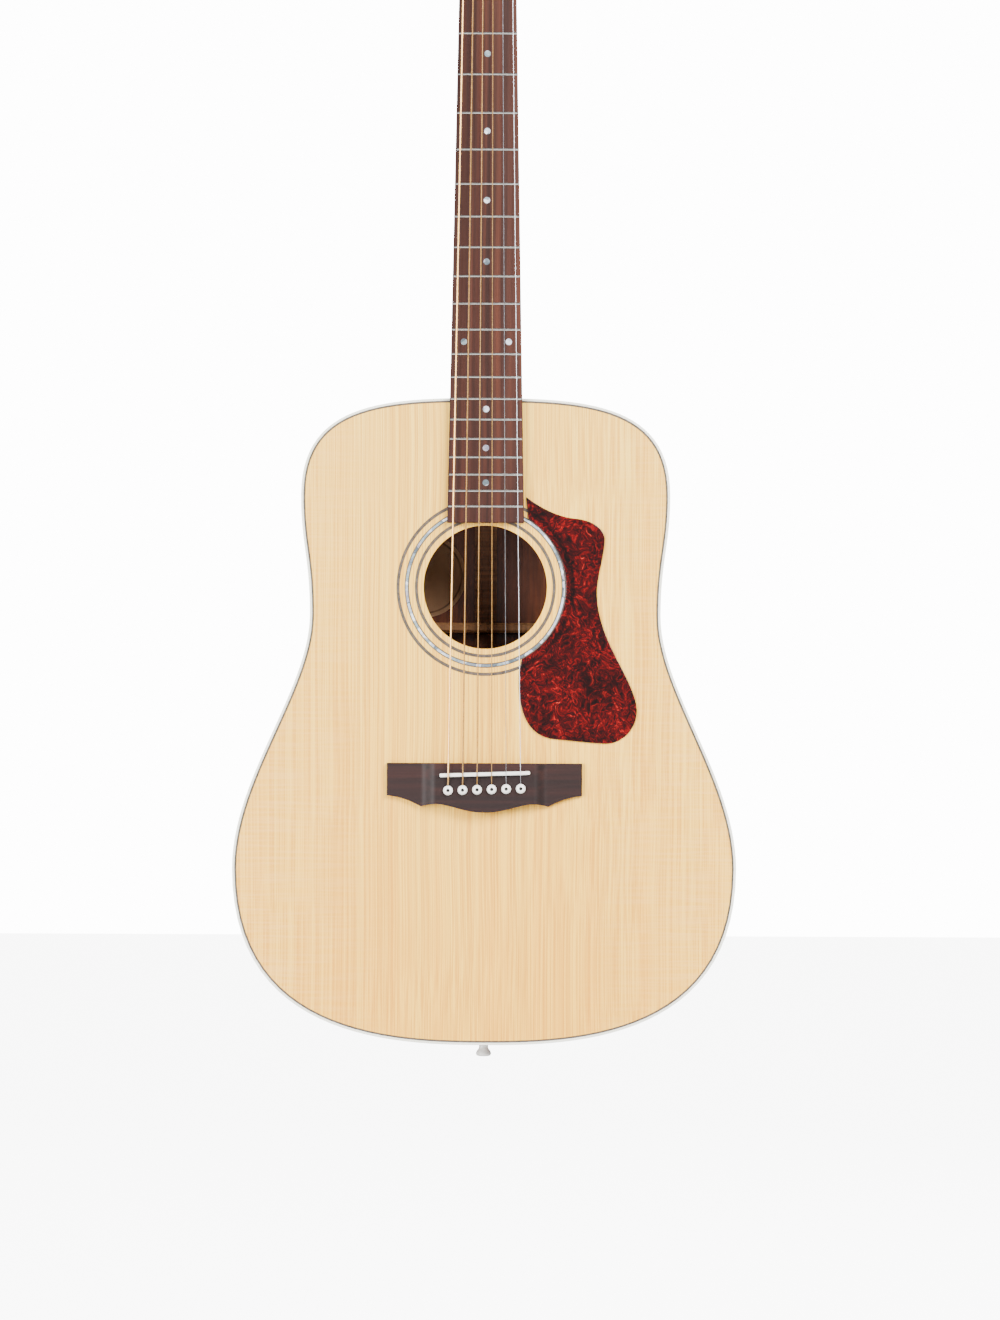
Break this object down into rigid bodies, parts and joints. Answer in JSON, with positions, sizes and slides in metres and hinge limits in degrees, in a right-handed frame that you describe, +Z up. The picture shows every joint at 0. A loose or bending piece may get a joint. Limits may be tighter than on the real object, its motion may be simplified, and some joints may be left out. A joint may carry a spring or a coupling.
{
  "type": "acoustic guitar",
  "caption": "Steel-string flat-top acoustic guitar with round soundhole, pinned bridge, shaped pickguard and open-gear tuners; the keys turn the posts and the bridge pins pull out.",
  "frame": {"origin": "centre of the nut line, on the plane of the soundboard's face, where the neck hangs in a wall hanger's fork", "axes": "+Z up the neck along the strings' centre line, +Y from the soundboard to the back, +X to the treble side, and the playing face looks along -Y"},
  "size_m": [0.3954, 0.1339, 1.0632],
  "materials": {
    "spruce": "gloss lacquer, fine straight grain",
    "mahogany": "gloss lacquer outside, bare inside",
    "rosewood": "oiled, open pores",
    "binding": "gloss cream",
    "bone": "polished, off-white",
    "pin_white": "gloss white with a dark dot",
    "pickguard": "gloss dark red tortoise pattern",
    "wound_string": "bronze winding",
    "plain_string": "bright drawn wire",
    "rod_steel": "plain",
    "tuner_metal": "polished plating"
  },
  "bodies": {
    "guitar": {"soundboard": "spruce", "x_brace": "spruce", "back_brace_1": "spruce", "back_brace_2": "spruce", "back_brace_3": "spruce", "back_brace_4": "spruce", "back": "mahogany", "side_bass": "mahogany", "side_treble": "mahogany", "neck": "mahogany", "neck_block": "mahogany", "tail_block": "mahogany", "top_lining_bass": "mahogany", "top_lining_treble": "mahogany", "back_lining_bass": "mahogany", "back_lining_treble": "mahogany", "fretboard": "rosewood", "bridge": "rosewood", "headstock_overlay": "rosewood", "bridge_plate": "rosewood", "top_binding": "binding", "back_binding": "binding", "nut": "bone", "saddle": "bone", "endpin": "bone", "pickguard": "pickguard", "string_1": "wound_string", "string_2": "wound_string", "string_3": "wound_string", "string_4": "wound_string", "string_5": "plain_string", "string_6": "plain_string", "truss_rod": "rod_steel", "tuner_plate_bass": "tuner_metal", "tuner_plate_treble": "tuner_metal"},
    "key_1": {"tuner_1_shaft": "tuner_metal", "tuner_1_button": "tuner_metal"},
    "post_1": {"tuner_1_post": "tuner_metal"},
    "pin_1": {"bridge_pin_1": "pin_white"},
    "key_2": {"tuner_2_shaft": "tuner_metal", "tuner_2_button": "tuner_metal"},
    "post_2": {"tuner_2_post": "tuner_metal"},
    "pin_2": {"bridge_pin_2": "pin_white"},
    "key_3": {"tuner_3_shaft": "tuner_metal", "tuner_3_button": "tuner_metal"},
    "post_3": {"tuner_3_post": "tuner_metal"},
    "pin_3": {"bridge_pin_3": "pin_white"},
    "key_4": {"tuner_4_shaft": "tuner_metal", "tuner_4_button": "tuner_metal"},
    "post_4": {"tuner_4_post": "tuner_metal"},
    "pin_4": {"bridge_pin_4": "pin_white"},
    "key_5": {"tuner_5_shaft": "tuner_metal", "tuner_5_button": "tuner_metal"},
    "post_5": {"tuner_5_post": "tuner_metal"},
    "pin_5": {"bridge_pin_5": "pin_white"},
    "key_6": {"tuner_6_shaft": "tuner_metal", "tuner_6_button": "tuner_metal"},
    "post_6": {"tuner_6_post": "tuner_metal"},
    "pin_6": {"bridge_pin_6": "pin_white"}
  },
  "joints": [
    {"name": "key_1_turn", "type": "hinge", "parent": "guitar", "child": "key_1", "pos_m": [-0.023, 0.02815, 0.04175], "axis": [1, 0, 0], "continuous": true},
    {"name": "post_1_turn", "type": "hinge", "parent": "guitar", "child": "post_1", "pos_m": [-0.023, 0.02961, 0.04759], "axis": [0, -0.9703, 0.2419], "continuous": true},
    {"name": "key_2_turn", "type": "hinge", "parent": "guitar", "child": "key_2", "pos_m": [-0.023, 0.03832, 0.0825], "axis": [1, 0, 0], "continuous": true},
    {"name": "post_2_turn", "type": "hinge", "parent": "guitar", "child": "post_2", "pos_m": [-0.023, 0.03977, 0.08834], "axis": [0, -0.9703, 0.2419], "continuous": true},
    {"name": "key_3_turn", "type": "hinge", "parent": "guitar", "child": "key_3", "pos_m": [-0.023, 0.04848, 0.12325], "axis": [1, 0, 0], "continuous": true},
    {"name": "post_3_turn", "type": "hinge", "parent": "guitar", "child": "post_3", "pos_m": [-0.023, 0.04993, 0.12909], "axis": [0, -0.9703, 0.2419], "continuous": true},
    {"name": "key_4_turn", "type": "hinge", "parent": "guitar", "child": "key_4", "pos_m": [0.023, 0.04848, 0.12325], "axis": [1, 0, 0], "continuous": true},
    {"name": "post_4_turn", "type": "hinge", "parent": "guitar", "child": "post_4", "pos_m": [0.023, 0.04993, 0.12909], "axis": [0, -0.9703, 0.2419], "continuous": true},
    {"name": "key_5_turn", "type": "hinge", "parent": "guitar", "child": "key_5", "pos_m": [0.023, 0.03832, 0.0825], "axis": [1, 0, 0], "continuous": true},
    {"name": "post_5_turn", "type": "hinge", "parent": "guitar", "child": "post_5", "pos_m": [0.023, 0.03977, 0.08834], "axis": [0, -0.9703, 0.2419], "continuous": true},
    {"name": "key_6_turn", "type": "hinge", "parent": "guitar", "child": "key_6", "pos_m": [0.023, 0.02815, 0.04175], "axis": [1, 0, 0], "continuous": true},
    {"name": "post_6_turn", "type": "hinge", "parent": "guitar", "child": "post_6", "pos_m": [0.023, 0.02961, 0.04759], "axis": [0, -0.9703, 0.2419], "continuous": true},
    {"name": "pin_1_pull", "type": "slide", "parent": "guitar", "child": "pin_1", "axis": [0, -1, 0], "range_m": [0, 0.03]},
    {"name": "pin_2_pull", "type": "slide", "parent": "guitar", "child": "pin_2", "axis": [0, -1, 0], "range_m": [0, 0.03]},
    {"name": "pin_3_pull", "type": "slide", "parent": "guitar", "child": "pin_3", "axis": [0, -1, 0], "range_m": [0, 0.03]},
    {"name": "pin_4_pull", "type": "slide", "parent": "guitar", "child": "pin_4", "axis": [0, -1, 0], "range_m": [0, 0.03]},
    {"name": "pin_5_pull", "type": "slide", "parent": "guitar", "child": "pin_5", "axis": [0, -1, 0], "range_m": [0, 0.03]},
    {"name": "pin_6_pull", "type": "slide", "parent": "guitar", "child": "pin_6", "axis": [0, -1, 0], "range_m": [0, 0.03]}
  ],
  "couplings": [
    {"joint": "post_1_turn", "follows": "key_1_turn", "ratio": -0.083333},
    {"joint": "post_2_turn", "follows": "key_2_turn", "ratio": -0.083333},
    {"joint": "post_3_turn", "follows": "key_3_turn", "ratio": -0.083333},
    {"joint": "post_4_turn", "follows": "key_4_turn", "ratio": -0.083333},
    {"joint": "post_5_turn", "follows": "key_5_turn", "ratio": -0.083333},
    {"joint": "post_6_turn", "follows": "key_6_turn", "ratio": -0.083333}
  ]
}
